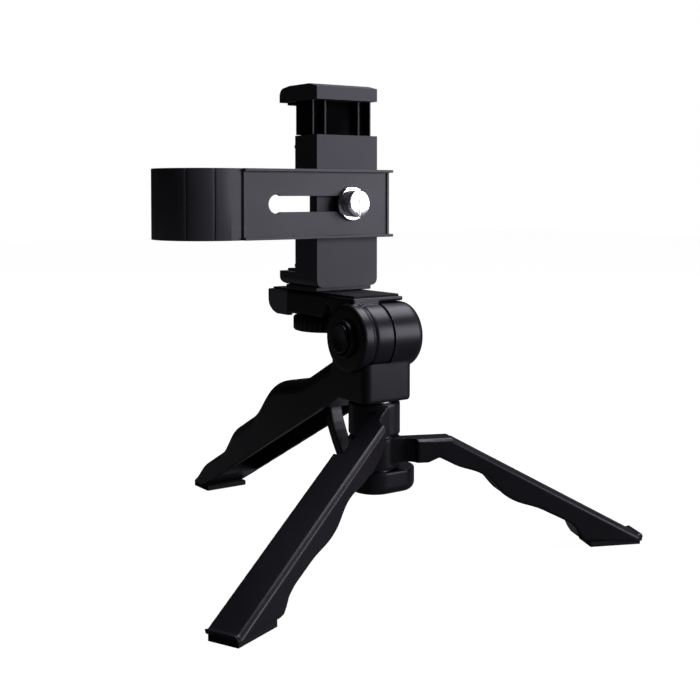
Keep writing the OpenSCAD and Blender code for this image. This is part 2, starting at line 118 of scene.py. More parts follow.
# %% Lofts, prisms and turned solids
def solid(name, points, faces):
    """A new closed mesh object from points in millimetres round the pin."""
    mesh = bpy.data.meshes.new(name)
    mesh.from_pydata([to_frame(p) for p in points], [], faces)
    form = bmesh.new()
    form.from_mesh(mesh)
    bmesh.ops.remove_doubles(form, verts=form.verts, dist=1e-7)
    bmesh.ops.recalc_face_normals(form, faces=form.faces)
    form.to_mesh(mesh)
    form.free()
    piece = bpy.data.objects.new(name, mesh)
    bpy.context.scene.collection.objects.link(piece)
    return piece


def loft(name, rings):
    """A solid through rings of equally many points, with a flat face at each end."""
    count = len(rings[0])
    points = [p for ring in rings for p in ring]
    faces = []
    for k in range(len(rings) - 1):
        a, b = k * count, (k + 1) * count
        for i in range(count):
            j = (i + 1) % count
            faces.append((a + i, a + j, b + j, b + i))
    faces.append(tuple(range(count)))
    faces.append(tuple(range(len(points) - count, len(points))))
    return solid(name, points, faces)


def on_plane(axis, u, v, w):
    """The point with coordinates u, v in the plane across an axis, at w along it."""
    return {"X": (w, u, v), "Y": (u, w, v), "Z": (u, v, w)}[axis]


def prism(name, axis, outline, low, high):
    """An outline in the plane across an axis, drawn out from low to high along it."""
    return loft(name, [[on_plane(axis, u, v, w) for u, v in outline] for w in (low, high)])


def box(name, low, high):
    """A block between two corners, for cutting with and for joining to others."""
    outline = [(low[0], low[1]), (high[0], low[1]), (high[0], high[1]), (low[0], high[1])]
    return prism(name, "Z", outline, low[2], high[2])


def circle(radius, count, centre):
    """Points round a circle."""
    turns = [2 * pi * i / count for i in range(count)]
    return [(centre[0] + radius * cos(t), centre[1] + radius * sin(t)) for t in turns]


def turned(name, axis, profile, centre=(0, 0), count=72):
    """A turned solid. The profile is a row of (radius, place along the axis)."""
    rings = []
    for radius, w in profile:
        ring = circle(max(radius, 0.001), count, centre)
        rings.append([on_plane(axis, u, v, w) for u, v in ring])
    return loft(name, rings)


def rod(axis, low, high, radius, centre=(0, 0)):
    """A plain turned rod, for cutting with and for joining to others."""
    return turned("rod", axis, [(radius, low), (radius, high)], centre)


# %% [markdown]
# ## Joining, cutting and softening
#
# Injection moulding leaves no knife edges: each edge has a small radius and each inner corner a
# fillet. There are two ways to get them. A voxel remesh followed by smoothing melts crossing
# solids into one skin with fillets, which suits the handle, the legs and the head. A bevel keeps
# flat faces truly flat, which suits the clip and the pressed bracket.

# %% Joining, cutting, melting and easing
def settle(piece):
    """Replaces the mesh by what its modifiers show."""
    graph = bpy.context.evaluated_depsgraph_get()
    mesh = bpy.data.meshes.new_from_object(piece.evaluated_get(graph))
    piece.modifiers.clear()
    old = piece.data
    piece.data = mesh
    mesh.name = piece.name
    bpy.data.meshes.remove(old)
    return piece


def combine(piece, others, operation):
    """Joins the others to the piece, or cuts them out of it, and removes them."""
    for other in others:
        step = piece.modifiers.new("step", "BOOLEAN")
        step.operation = operation
        step.solver = "MANIFOLD"
        step.object = other
        settle(piece)
        mesh = other.data
        bpy.data.objects.remove(other)
        bpy.data.meshes.remove(mesh)
    return piece


def join(piece, *others):
    """The piece with the others joined on."""
    return combine(piece, others, "UNION")


def cut(piece, *others):
    """The piece with the others cut out of it."""
    return combine(piece, others, "DIFFERENCE")


def melt(piece, voxel=0.5, rounds=6):
    """One smooth skin with small fillets. The voxel size is in millimetres."""
    remesh = piece.modifiers.new("skin", "REMESH")
    remesh.mode = "VOXEL"
    remesh.voxel_size = voxel / 1000
    smooth = piece.modifiers.new("fillets", "SMOOTH")
    smooth.factor = 0.5
    smooth.iterations = rounds
    return settle(piece)


def shade(piece, angle=40):
    """Smooth shading, apart from edges sharper than the angle."""
    form = bmesh.new()
    form.from_mesh(piece.data)
    for face in form.faces:
        face.smooth = True
    for edge in form.edges:
        sharp = len(edge.link_faces) == 2 and edge.calc_face_angle(0) > radians(angle)
        edge.smooth = not sharp
    form.to_mesh(piece.data)
    form.free()
    return piece


def weld(piece):
    """Merges doubled points, and flat triangles into whole faces, so that no edge is left over."""
    form = bmesh.new()
    form.from_mesh(piece.data)
    bmesh.ops.remove_doubles(form, verts=form.verts, dist=2e-6)
    bmesh.ops.dissolve_limit(form, angle_limit=radians(1), verts=form.verts, edges=form.edges)
    form.to_mesh(piece.data)
    form.free()
    return piece


LARGE_FACE = 12e-6  # m2: a face of this size that stands square to an axis is shaded flat
SQUARE = 0.9999  # the least that the normal of such a face runs along its axis


def ease(piece, width, segments=3, angle=35):
    """Rounds the sharp edges and keeps the flat faces flat."""
    weld(piece)
    bevel = piece.modifiers.new("ease", "BEVEL")
    bevel.width = width / 1000
    bevel.segments = segments
    bevel.limit_method = "ANGLE"
    bevel.angle_limit = radians(angle)
    settle(piece)
    shade(piece, 50)
    for face in piece.data.polygons:
        square = max(abs(side) for side in face.normal) > SQUARE
        face.use_smooth = not (square and face.area > LARGE_FACE)
    return piece


def copy_of(node, name):
    """A new piece with a CAD node's own shape, to be eased or cut."""
    piece = bpy.data.objects.new(name, frame["nodes"][node].data.copy())
    piece.data.materials.clear()
    normals = piece.data.attributes.get("custom_normal")
    if normals:  # the CAD node's own normals don't fit the eased shape
        piece.data.attributes.remove(normals)
    bpy.context.scene.collection.objects.link(piece)
    return weld(piece)


# %% [markdown]
# ## Effects shared by several finishes
#
# Three small node groups are built once and used in every finish: fine grain for the relief of a
# mould or a coat, handling marks for the slow drift of gloss where fingers have been, and a
# painted edge highlight that makes convex edges lighter. Each group puts out plain values, and
# each material holds its own shader.

# %% A helper for node groups and links
def node_group(name, inputs, outputs):
    """A shader node group with named sockets, its input node and its output node."""
    group = bpy.data.node_groups.new(name, "ShaderNodeTree")
    for label, default in inputs.items():
        socket = group.interface.new_socket(label, in_out="INPUT", socket_type="NodeSocketFloat")
        socket.default_value = default
    for label in outputs:
        group.interface.new_socket(label, in_out="OUTPUT", socket_type="NodeSocketFloat")
    return group, group.nodes.new("NodeGroupInput"), group.nodes.new("NodeGroupOutput")


def blend_range(tree, value, low, high):
    """A Map Range node that carries 0..1 to low..high. The ends may be numbers or sockets."""
    node = tree.nodes.new("ShaderNodeMapRange")
    tree.links.new(value, node.inputs["Value"])
    for label, end in (("To Min", low), ("To Max", high)):
        if isinstance(end, (int, float)):
            node.inputs[label].default_value = end
        else:
            tree.links.new(end, node.inputs[label])
    return node


# %% [markdown]
# ### Fine grain
# Spark-eroded moulds and powder coats both show a field of tiny rounded bumps. Two noises, one
# three times finer than the other, give that without a visible repeat.

# %% Group: fine grain
grain, source, result = node_group("Fine grain", {"Scale": 1500.0}, ["Height"])
place = grain.nodes.new("ShaderNodeTexCoord")
coarse = grain.nodes.new("ShaderNodeTexNoise")
coarse.inputs["Detail"].default_value = 1.0
fine = grain.nodes.new("ShaderNodeTexVoronoi")
finer = grain.nodes.new("ShaderNodeMath")
finer.operation = "MULTIPLY"
finer.inputs[1].default_value = 1.8
mixed = grain.nodes.new("ShaderNodeMath")
mixed.operation = "MULTIPLY_ADD"
mixed.inputs[1].default_value = 0.5
for texture in (coarse, fine):
    grain.links.new(place.outputs["Object"], texture.inputs["Vector"])
grain.links.new(source.outputs["Scale"], coarse.inputs["Scale"])
grain.links.new(source.outputs["Scale"], finer.inputs[0])
grain.links.new(finer.outputs[0], fine.inputs["Scale"])
grain.links.new(fine.outputs["Distance"], mixed.inputs[0])
grain.links.new(coarse.outputs["Fac"], mixed.inputs[2])
grain.links.new(mixed.outputs[0], result.inputs["Height"])
print("group:", grain.name)

# %% [markdown]
# ### Handling marks
# Skin oil makes a plastic a little glossier in soft patches. A slow noise runs between two
# limits, and the material uses it as roughness.

# %% Group: handling marks
marks, source, result = node_group(
    "Handling marks", {"Scale": 40.0, "Least": 0.4, "Most": 0.5}, ["Roughness", "Patches"]
)
place = marks.nodes.new("ShaderNodeTexCoord")
drift = marks.nodes.new("ShaderNodeTexNoise")
drift.inputs["Detail"].default_value = 4.0
drift.inputs["Roughness"].default_value = 0.62
spread = marks.nodes.new("ShaderNodeMapRange")
spread.inputs["From Min"].default_value = 0.3
spread.inputs["From Max"].default_value = 0.7
marks.links.new(place.outputs["Object"], drift.inputs["Vector"])
marks.links.new(source.outputs["Scale"], drift.inputs["Scale"])
marks.links.new(drift.outputs["Fac"], spread.inputs["Value"])
ranged = blend_range(marks, spread.outputs[0], source.outputs["Least"], source.outputs["Most"])
marks.links.new(ranged.outputs[0], result.inputs["Roughness"])
marks.links.new(spread.outputs[0], result.inputs["Patches"])
print("group:", marks.name)

# %% [markdown]
# ### Painted edge highlight
# Convex edges are painted lighter, as a painted highlight where light would catch them.
# Pointiness finds the convex edges, and a noise breaks the line up so that it doesn't look drawn.

# %% Group: painted edge highlight
edge_highlight, source, result = node_group("Edge wear", {"Start": 0.53, "Scale": 300.0}, ["Mask"])
shape = edge_highlight.nodes.new("ShaderNodeNewGeometry")
place = edge_highlight.nodes.new("ShaderNodeTexCoord")
highlight_breakup = edge_highlight.nodes.new("ShaderNodeTexNoise")
highlight_breakup.inputs["Detail"].default_value = 3.0
ridge = edge_highlight.nodes.new("ShaderNodeMapRange")
ridge.interpolation_type = "SMOOTHSTEP"
stop = edge_highlight.nodes.new("ShaderNodeMath")
stop.operation = "ADD"
stop.inputs[1].default_value = 0.08
broken = edge_highlight.nodes.new("ShaderNodeMath")
broken.operation = "MULTIPLY"
edge_highlight.links.new(shape.outputs["Pointiness"], ridge.inputs["Value"])
edge_highlight.links.new(source.outputs["Start"], ridge.inputs["From Min"])
edge_highlight.links.new(source.outputs["Start"], stop.inputs[0])
edge_highlight.links.new(stop.outputs[0], ridge.inputs["From Max"])
edge_highlight.links.new(place.outputs["Object"], highlight_breakup.inputs["Vector"])
edge_highlight.links.new(source.outputs["Scale"], highlight_breakup.inputs["Scale"])
edge_highlight.links.new(ridge.outputs[0], broken.inputs[0])
edge_highlight.links.new(highlight_breakup.outputs["Fac"], broken.inputs[1])
edge_highlight.links.new(broken.outputs[0], result.inputs["Mask"])
print("group:", edge_highlight.name)

# %% [markdown]
# ## The finishes
#
# One recipe serves all of them, because plastics, rubber and metals differ only in numbers: a
# colour that drifts between two near tones, a lighter tone painted on convex edges as a painted
# highlight, a roughness that drifts, and a grain that bumps the surface. Whatever is the same all
# over is set on the shader itself.

# %% The recipe
def add_group(tree, group, **values):
    """One of the groups above, placed in a material with its own values."""
    node = tree.nodes.new("ShaderNodeGroup")
    node.node_tree = group
    for label, value in values.items():
        node.inputs[label].default_value = value
    return node


def mix_colour(tree, factor, a, b):
    """A colour that runs from a to b. Either may be a plain colour or a socket."""
    node = tree.nodes.new("ShaderNodeMix")
    node.data_type = "RGBA"
    tree.links.new(factor, node.inputs["Factor"])
    for socket, end in ((node.inputs[6], a), (node.inputs[7], b)):
        if isinstance(end, tuple):
            socket.default_value = (*end, 1)
        else:
            tree.links.new(end, socket)
    return node.outputs[2]


def finish(name, tone, patch, highlight_tone, rough, grain_scale, grain_depth, drift_scale=40, **sockets):
    """A material. tone and patch are colours, the third colour is the painted highlight on convex edges,
    rough is a pair, and depths are in metres.
    """
    material = bpy.data.materials.new(name)
    material.use_nodes = True
    tree = material.node_tree
    shader = tree.nodes["Principled BSDF"]
    drift = add_group(tree, marks, Scale=drift_scale, Least=rough[0], Most=rough[1])
    highlight_node = add_group(tree, edge_highlight)
    relief = add_group(tree, grain, Scale=grain_scale)
    colour = mix_colour(tree, drift.outputs["Patches"], tone, patch)
    # Painted highlight: convex edges take the third, lighter colour.
    colour = mix_colour(tree, highlight_node.outputs["Mask"], colour, highlight_tone)
    tree.links.new(colour, shader.inputs["Base Color"])
    tree.links.new(drift.outputs["Roughness"], shader.inputs["Roughness"])
    bump = tree.nodes.new("ShaderNodeBump")
    bump.inputs["Strength"].default_value = 0.6
    bump.inputs["Distance"].default_value = grain_depth
    tree.links.new(relief.outputs["Height"], bump.inputs["Height"])
    tree.links.new(bump.outputs["Normal"], shader.inputs["Normal"])
    for label, value in sockets.items():
        shader.inputs[label.replace("_", " ")].default_value = value
    return material


# %% [markdown]
# ### Plastics and rubber
# The tripod is glass-filled nylon, nearly black with a cool violet cast and a soft sheen. The
# clip is a greyer, flatter plastic with a finer texture. The rubber is dead matte and dusty.

# %% Plastics and rubber
# The third colour of each finish is the painted highlight on its convex edges.
nylon = finish(
    "moulded_nylon", (0.0105, 0.0095, 0.0125), (0.013, 0.0115, 0.0155), (0.05, 0.046, 0.055),
    (0.30, 0.38), 2600, 0.000008, Specular_IOR_Level=0.28,
)
clip_plastic = finish(
    "clip_plastic", (0.074, 0.0715, 0.083), (0.077, 0.0745, 0.086), (0.08, 0.0775, 0.089),
    (0.46, 0.5), 3200, 0.000006, Specular_IOR_Level=0.25,
)
# Painted shade: a near-black, barely reflecting copy of the clip plastic for the pockets between the
# slider's ribs.
painted_pocket_shade = finish(
    "painted_pocket_shade", (0.003, 0.003, 0.0035), (0.004, 0.004, 0.0045), (0.02, 0.02, 0.022),
    (0.7, 0.85), 2600, 0.000004, Specular_IOR_Level=0.02,
)
rubber = finish(
    "rubber", (0.012, 0.012, 0.0125), (0.02, 0.0195, 0.02), (0.035, 0.035, 0.035),
    (0.78, 0.92), 1400, 0.00004, drift_scale=90, Specular_IOR_Level=0.2,
)
# Painted light: a lighter copy of the nylon for the platform's far end, where the end face is lit.
painted_lit_end = finish(
    "painted_lit_end", (0.14, 0.135, 0.15), (0.16, 0.155, 0.17), (0.25, 0.25, 0.26),
    (0.42, 0.52), 2600, 0.000008, Specular_IOR_Level=0.3,
)

# %% [markdown]
# ### Metals
# The bracket is pressed steel with a fine powder coat in the clip's grey. The fasteners are
# bright zinc, the clip's insert is turned brass, and the thumb screw is polished chrome.

# %% Metals
powder_coat = finish(
    "powder_coat", (0.074, 0.0715, 0.082), (0.077, 0.0745, 0.085), (0.095, 0.092, 0.102),
    (0.40, 0.46), 2200, 0.00001, Specular_IOR_Level=0.3,
)
zinc = finish(
    "zinc_plate", (0.55, 0.55, 0.57), (0.62, 0.62, 0.63), (0.75, 0.75, 0.75),
    (0.22, 0.34), 1800, 0.000008, drift_scale=180, Metallic=1.0,
)
brass = finish(
    "turned_brass", (0.62, 0.43, 0.17), (0.7, 0.5, 0.22), (0.85, 0.66, 0.35),
    (0.2, 0.3), 1800, 0.000006, drift_scale=180, Metallic=1.0,
)
chrome = finish(
    "polished_chrome", (0.86, 0.86, 0.88), (0.9, 0.9, 0.92), (0.95, 0.95, 0.96),
    (0.14, 0.18), 900, 0.000002, drift_scale=220, Metallic=1.0,
)
print("finishes:", len(bpy.data.materials))

# %% [markdown]
# ## Placing a piece
# A finished piece takes its material, moves with its body, and stands for the CAD nodes that it
# shows in more detail.

# %% Placing a piece
made = []


def second_finish(piece, material, inside):
    """Gives a second material to the faces whose middle, in millimetres round the pin, is inside."""
    piece.data.materials.append(material)
    count = 0
    for face in piece.data.polygons:
        x, y, z = face.center
        if inside(x * 1000, (y - PIN_Y) * 1000, z * 1000):
            face.material_index = len(piece.data.materials) - 1
            count += 1
    print(piece.name, "second finish on faces:", count)


def place_piece(piece, material, body, slot, *nodes):
    """Gives a piece its material, its body and the CAD nodes that it stands for. The slot is not used."""
    piece.data.materials.clear()
    piece.data.materials.append(material)
    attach(piece, body)
    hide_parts(*nodes)
    made.append(piece)
    size = [round(1000 * side, 1) for side in piece.dimensions]
    print(piece.name, "mm:", size, "faces:", len(piece.data.polygons))


# %% [markdown]
# ## The handle
#
# The handle is one moulding. It starts as the collar over the legs' knuckles, carries the fixed
# half of the tilt barrel, and runs back and down to its rubber foot as a U-shaped channel, open
# below, that a hand wraps round. Its upper edges are well rounded. A loft of rounded sections
# along the sloping lower edge gives the channel's outside.

# %% The handle's side view
GRIP_HALF = 12
GRIP_SLOPE = radians(27.4)
GRIP_EDGE = 69.4


def bump(t, centre, width):
    """A smooth bump of height 1."""
    return 0 if abs(t - centre) >= width else cos(pi / 2 * (t - centre) / width) ** 2


def step(t, start, end):
    """A smooth step from 0 to 1."""
    u = min(1, max(0, (t - start) / (end - start)))
    return u * u * (3 - 2 * u)


def grip_depth(t):
    return 17 + 6.6 * bump(t, 60, 26) - 7 * step(t, 104, 121) - 4 * step(t, 140, 154)


def grip_point(x, t, d):
    """A point t along the handle's lower edge, d above it, x to the side."""
    y = t * cos(GRIP_SLOPE) + d * sin(GRIP_SLOPE)
    return (x, y, GRIP_EDGE - t * sin(GRIP_SLOPE) + d * cos(GRIP_SLOPE))


def arch(half, depth, radius, count=8):
    """Half-width and depth pairs up one side of a channel, over its rounded top and down again."""
    turns = [pi / 2 * i / count for i in range(count + 1)]
    side = [(half - radius + radius * cos(a), depth - radius + radius * sin(a)) for a in turns]
    return [(half, 0)] + side + [(-x, d) for x, d in reversed(side)] + [(-half, 0)]


# %% [markdown]
# The collar, the neck and the fixed half of the barrel are turned and drawn solids. They cross
# the handle's loft, and melting them together gives the fillets that the real moulding has where
# the neck meets the saddle.

# %% The handle
BARREL_R = 14.1
SEAM_X = 0.6
COLLAR_Z = 64.2
COLLAR_TOP = 84

sections = []
for t in [6, 10] + list(range(14, 158, 3)):
    depth = grip_depth(t)
    radius = min(6.5, 0.42 * depth)
    sections.append([grip_point(x, t, d) for x, d in arch(GRIP_HALF, depth, radius)])
handle = loft("handle_shell_piece", sections)
corner = [(9 + 3 * cos(radians(a)), -7.4 + 3 * sin(radians(a))) for a in range(0, -91, -10)]
collar = [(GRIP_HALF, 14)] + corner + [(-x, y) for x, y in reversed(corner)] + [(-GRIP_HALF, 14)]
join(
    handle,
    prism("collar", "Z", collar, COLLAR_Z, COLLAR_TOP),
    box("neck", (SEAM_X - 0.6, -9.4, COLLAR_Z + 1), (GRIP_HALF, 13, TILT_Z)),
    turned(
        "fixed barrel", "X",
        [(BARREL_R, SEAM_X - 3), (BARREL_R, 12.8), (13.6, 14.8), (12.6, 15.9), (10.4, 16.2)],
        (0, TILT_Z), 120,
    ),
)
cut(handle, box("floor", (-30, 90, -30), (30, 160, 2.4)), box("tip", (-30, 141.4, -5), (30, 170, 40)))
melt(handle, 0.5, 7)
hollow = []
for t in list(range(25, 128, 3)):
    depth = grip_depth(t) - 2.2
    upper = arch(GRIP_HALF - 2.2, depth, min(4.3, 0.4 * depth))
    ring = [(x, d if d > 0 else -6) for x, d in upper]
    hollow.append([grip_point(x, t, d) for x, d in ring])
boss = loft("boss", [[grip_point(x, t, d) for t, d in ((27.5, 10.6), (39.5, 10.6), (39.5, 17), (27.5, 17))]
                     for x in (-8.5, 8.5)])
cut(
    handle,
    cut(loft("hollow", hollow), boss),
    rod("X", -24, SEAM_X + 0.15, BARREL_R + 0.4, (0, TILT_Z)),
    rod("X", SEAM_X - 1, 9.5, 10.4, (0, TILT_Z)),
    rod("X", 9, 14.5, 2.5, (0, TILT_Z)),
    rod("X", 11.2, 30, 9, (0, TILT_Z)),
    rod("Z", COLLAR_Z - 4, 70, 3),
)
shade(handle, 42)
place_piece(handle, nylon, "handle", "handle_plastic", "handle_shell")

# %% [markdown]
# A snap-in disc closes the fixed end of the barrel over the axle's nut, and a rubber block under
# the handle's tip grips the table. Grooves across its sole let it bite.

# %% The barrel's end cap and the handle's foot
end_cap = turned(
    "barrel_end_cap_piece", "X",
    [(0, 14.5), (8.9, 14.5), (8.9, 16.1), (8.4, 16.6), (3, 16.4), (0, 16.35)], (0, TILT_Z), 96,
)
shade(end_cap, 30)
place_piece(end_cap, nylon, "handle", "handle_plastic", "barrel_end_cap")


SOLE_GROOVE = 0.8
foot_low, foot_high = node_box("handle_foot_pad")
handle_foot = box("handle_foot_piece", foot_low, foot_high)
for k in range(4):
    y = foot_low.y + 3 + k * 2.6
    start, end = (foot_low.x + 1.5, y, -1), (foot_high.x - 1.5, y + 0.8, SOLE_GROOVE)
    cut(handle_foot, box("groove", start, end))
ease(handle_foot, 0.3, 2)
place_piece(handle_foot, rubber, "handle", "rubber", "handle_foot_pad")

# %% [markdown]
# ## The yoke under the knuckles
#
# A round-ended cap closes the pivot from below. From it a narrow strap rises behind the knuckles
# and curves back into the handle, where two screws hold its flat. So the pin is held at both
# ends, and the legs turn between the cap and the collar. The cap's lower rim is well rounded.

# %% The yoke
def lug(radius, reach=7.6, count=24):
    """An outline of two half circles, one round the pin and one to its right."""
    turns = [-pi / 2 + pi * i / count for i in range(count + 1)]
    right = [(reach + radius * cos(a), radius * sin(a)) for a in turns]
    return right + [(-radius * cos(a), -radius * sin(a)) for a in turns]


def strap_middle(u):
    return 15 + 16.5 * sin(pi / 2 * u), 30.5 + 29 * u + 4.5 * u * u


def strap_side(u, offset):
    """A point of the strap's side view, offset from its middle line."""
    (y0, z0), (y1, z1) = strap_middle(u), strap_middle(u + 0.01)
    length = hypot(y1 - y0, z1 - z0)
    return y0 + offset * (z1 - z0) / length, z0 - offset * (y1 - y0) / length


CAP = [(7.8, 25.6), (9.2, 26), (10.2, 26.9), (10.8, 28.4), (10.8, 34.8), (10.3, 35.4)]
yoke = loft("hinge_yoke_piece", [[(x, y, z) for x, y in lug(r)] for r, z in CAP])
strap = [(4, 26.6), (15, 26.6)] + [strap_side(i / 10, 2.3) for i in range(1, 11)]
strap += [strap_side(i / 10, -2.3) for i in range(10, 0, -1)] + [(4, 35.2)]
flat = [grip_point(0, t, d)[1:] for t, d in ((27.5, 10.5), (39.5, 10.5), (39.5, 7.6), (27.5, 7.6))]
join(yoke, prism("strap", "X", strap, -3.2, 3.2), prism("flat", "X", flat, -8.5, 8.5))
melt(yoke, 0.4, 5)
cut(yoke, rod("Z", 20, 40, 3), rod("Z", 20, 29.6, 5.6))
shade(yoke, 42)
place_piece(yoke, nylon, "handle", "handle_plastic", "hinge_yoke")

# %% [markdown]
# ## The swing legs
#
# Each leg is a moulded bar with a flat sloping top, a light chamfer along its outer edge and a
# wavy underside: thin behind the knuckle, a swelling in the middle and a foot that stands flat.
# They are a pair, apart from their roots, because one knuckle sits on the other.

# %% A leg's side view
LEG_SLOPE = radians(28.6)
LEG_OPEN = radians(66.3)
LEG_TOP = 65.5
LEG_W = 14.5
LEG_REACH = 115
FOOT_T = 2.4


def leg_depth(t):
    return 9.4 - 1.8 * bump(t, 53, 13) + 2 * bump(t, 70, 15) - 0.5 * step(t, 80, 100)


def leg_point(t, d):
    """A point t down the slope of a leg, d below its top line."""
    y = t * cos(LEG_SLOPE) - d * sin(LEG_SLOPE)
    return y, LEG_TOP - t * sin(LEG_SLOPE) - d * cos(LEG_SLOPE)


def leg_outline(root_low, root_top):
    lower = [leg_point(t, leg_depth(t)) for t in range(97, 37, -2)]
    tip = [leg_point(128.6, 0), (LEG_REACH - 0.2, FOOT_T + 2.2), (LEG_REACH - 0.9, FOOT_T)]
    heel = [(90, FOOT_T), (87.6, 3.0), (86, 5.2), (84.4, 8.4)]
    return root_top + [leg_point(110, 0)] + tip + heel + lower + root_low


# %% [markdown]
# The chamfer is part of the loft: the last ring, on the outer face, has its top line lowered. So
# the strip of light along the edge comes from geometry. After melting, the hollow underside and
# the bore are cut, which leaves their edges crisp as a mould's core does.

# %% The two legs
def make_leg(name, turn, flip, knuckle, root_low, root_top):
    """One leg, drawn along +X with its body on the +Y side, then turned to its open place."""
    outline = leg_outline(root_low, root_top)
    lowered = [(u, v - 1.5 if v > leg_line(u) - 1.5 else v + 0.5) for u, v in outline]
    rings = [(0.2, outline), (LEG_W - 1.5, outline), (LEG_W, lowered)]
    leg = loft(name, [[(u, y, v) for u, v in ring] for y, ring in rings])
    low, high = knuckle
    rounded = [(10.2, low), (10.8, low + 0.6), (10.8, high - 0.6), (10.2, high)]
    run_in = [
        (-20, 9.8), (10.5, 9.8), (13, 10.6), (14.6, 12.2), (15.2, LEG_W), (15.2, 30), (-20, 30)
    ]
    strap_room = box("strap room", (-20, -1, 20), (32.5, 3.8, high + 20))
    cut(leg, strap_room, prism("run in", "Z", run_in, 20, 80))
    join(leg, turned("knuckle", "Z", rounded, count=96))
    if low > 45:
        cut(leg, rod("Z", 20, low, 11.4))
    melt(leg, 0.42, 5)
    channel = [leg_point(t, d) for t, d in ((46, 2.6), (100, 2.6), (100, 14), (60, 16), (46, 14))]
    cut(leg, prism("channel", "Y", channel, 2.2, LEG_W - 2.2), rod("Z", 20, 80, 3.05))
    shade(leg, 42)
    bring(leg, turn, flip)
    return leg


def leg_line(x):
    """Height of the top line of a leg, x out from the pin."""
    return LEG_TOP - x * sin(LEG_SLOPE) / cos(LEG_SLOPE)


def bring(piece, turn, flip):
    """Turns a piece about the pin, mirrored first if it is for the right side."""
    pin = Matrix.Translation((0, PIN_Y, 0))
    mirror = Matrix.Diagonal((1, -1 if flip else 1, 1, 1))
    piece.data.transform(pin @ Matrix.Rotation(turn, 4, "Z") @ mirror @ pin.inverted())
    if flip:
        piece.data.flip_normals()


LEFT_TURN = 3 * pi / 2 - LEG_OPEN
RIGHT_TURN = LEG_OPEN - pi / 2
left_leg = make_leg(
    "left_leg_piece", LEFT_TURN, False, (49.8, 63.6),
    [(26, 39.6), (20, 44.5), (12.5, 49.8), (0, 49.8)], [(0, 63.6), (3.4, 63.6)],
)
place_piece(left_leg, nylon, "left_leg", "leg_plastic", "left_leg")
right_leg = make_leg(
    "right_leg_piece", RIGHT_TURN, True, (36.0, 49.2),
    [(24.6, 41.2), (20, 39.3), (0, 39.3)], [(0, 49.2), (29.9, 49.2)],
)
place_piece(right_leg, nylon, "right_leg", "leg_plastic", "right_leg")

# %% [markdown]
# The legs' rubber feet are glued into the open ends. Each has a rounded rim and a sole with
# grooves that stop short of it, so none shows from the side.

# %% The legs' feet
for name, node, body, turn, flip in (
    ("left_foot_piece", "left_foot_pad", "left_leg", LEFT_TURN, False),
    ("right_foot_piece", "right_foot_pad", "right_leg", RIGHT_TURN, True),
):
    foot = box(name, (91, 1, 0), (LEG_REACH - 1.4, LEG_W - 0.8, FOOT_T))
    for k in range(6):
        x = 94 + k * 3.2
        cut(foot, box("groove", (x, 2.4, -1), (x + 0.9, LEG_W - 2.2, SOLE_GROOVE)))
    ease(foot, 0.3, 2)
    bring(foot, turn, flip)
    place_piece(foot, rubber, body, "rubber", node)

# %% [markdown]
# ## The tilting head
#
# The head is the near half of the barrel with a platform on it. The barrel's near end has a
# raised flange and a shallow groove behind it. The platform is a thin deck with a skirt below,
# hollow where the thumb wheel turns.

# %% The head
DECK_TOP = 106.8
DECK_HALF = 13
DECK_LOW = TILT_Z + BARREL_R + 0.3
head = turned(
    "tilt_head_piece", "X",
    [
        (12.4, -15), (13.5, -14.8), (14.1, -14.1), (14.1, -10.2), (13.7, -9.6), (13.2, -9.4),
        (13.2, -8.5), (13.7, -8.2), (13.9, -7.4), (13.9, 0), (13.6, 0.45),
    ],
    (0, TILT_Z), 120,
)
skirt = [
    (-3, DECK_TOP), (-3, DECK_LOW - 6), (10, DECK_LOW - 8), (16, DECK_LOW - 1.5), (17.5, 100),
    (20, 97), (46, 97), (47, 95.8), (57, 95.8), (60.5, 97), (63.2, 99.2), (64, 101.4), (64, DECK_TOP),
]
deck = prism("deck", "X", skirt, -DECK_HALF, DECK_HALF)
cut(deck, box("far side", (SEAM_X - 0.15, -20, 80), (30, 17, DECK_LOW)))
join(head, deck)
melt(head, 0.45, 5)
cut(
    head,
    box("wheel room", (-DECK_HALF + 2.2, 19.5, 90), (DECK_HALF - 2.2, 53, DECK_TOP - 3.4)),
    rod("Z", 100, 110, 3.1, (0, STUD_Y)),
    rod("X", -20, -11, 8, (0, TILT_Z)),
    rod("X", -11.1, -1.6, 9.4, (0, TILT_Z)),
    rod("X", -2, 3, 2.55, (0, TILT_Z)),
)
shade(head, 42)
place_piece(head, nylon, "head", "handle_plastic", "tilt_head")
# The platform's far end takes the lighter copy of the nylon as a painted lit face.
second_finish(head, painted_lit_end, lambda x, y, z: y > 47.5 and z < DECK_TOP - 0.6)

# %% [markdown]
# The push button stands in a raised ring on the near end of the barrel. It has a shallow dish for
# the thumb. Both are turned forms, because that is how their moulds are cut.

# %% The button and its ring
axis_at = (0, TILT_Z)
bezel = turned(
    "button_ring_piece", "X",
    [(7.95, -11.2), (7.95, -16.4), (7.8, -16.9), (7.4, -17.2), (7, -17.2), (6.6, -16.9), (6.52, -16.4)],
    axis_at, 96,
)
cut(bezel, rod("X", -20, 0, 6.5, axis_at))
shade(bezel, 30)
place_piece(bezel, nylon, "head", "handle_plastic", "button_bezel")
button = turned(
    "lock_button_piece", "X",
    [(4.3, -9.9), (7.5, -9.9), (7.5, -10.8), (6.2, -10.8), (6.2, -17.2), (6, -17.8), (5.4, -18.15),
     (4.7, -18.1), (3.1, -17.7), (1.3, -17.5), (0, -17.45)],
    axis_at, 96,
)
cut(button, rod("X", -10.9, -5, 4.3, axis_at))
shade(button, 30)
place_piece(button, nylon, "release", "button_plastic", "lock_button")

# %% [markdown]
# The platform's rubber top has fine ribs across it that stop the clip from turning by itself.
# The ribs are real relief: the pad's side view is a comb drawn out along X.

